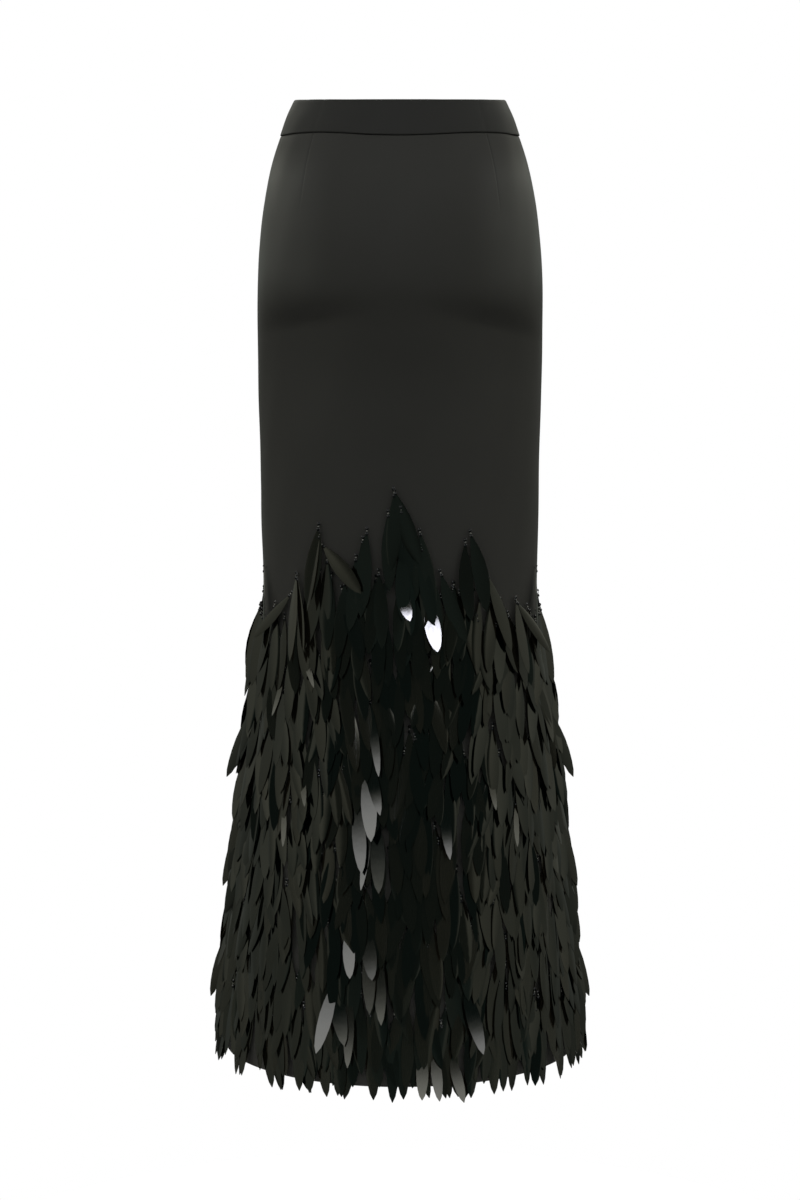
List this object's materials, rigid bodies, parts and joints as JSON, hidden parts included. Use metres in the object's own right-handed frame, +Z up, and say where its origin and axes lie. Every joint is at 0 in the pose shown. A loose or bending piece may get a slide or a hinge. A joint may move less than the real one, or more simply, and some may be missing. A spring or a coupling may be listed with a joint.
{
  "type": "mermaid fishtail skirt",
  "caption": "Floor-length fitted satin skirt on a contoured waistband, flaring below the knee into a fishtail covered with overlapping rows of pointed leaf paillettes.",
  "frame": {"origin": "centre of the waist, at the middle of the waistband's height, where the wearer holds the skirt up", "axes": "+Z up; -Y is the back of the garment and +Y its front; +X is its right-hand side as seen from behind"},
  "size_m": [0.4359, 0.4039, 1.1037],
  "materials": {
    "satin": "heavy black satin, soft sheen",
    "leaf_paillette": "black film leaves, mirror gloss"
  },
  "bodies": {
    "root": {"waistband_back": "satin", "waistband_front": "satin", "skirt_back": "satin", "skirt_front": "satin", "leaf_row_1": "leaf_paillette", "leaf_row_2": "leaf_paillette", "leaf_row_3": "leaf_paillette", "leaf_row_4": "leaf_paillette", "leaf_row_5": "leaf_paillette", "leaf_row_6": "leaf_paillette"}
  },
  "joints": []
}
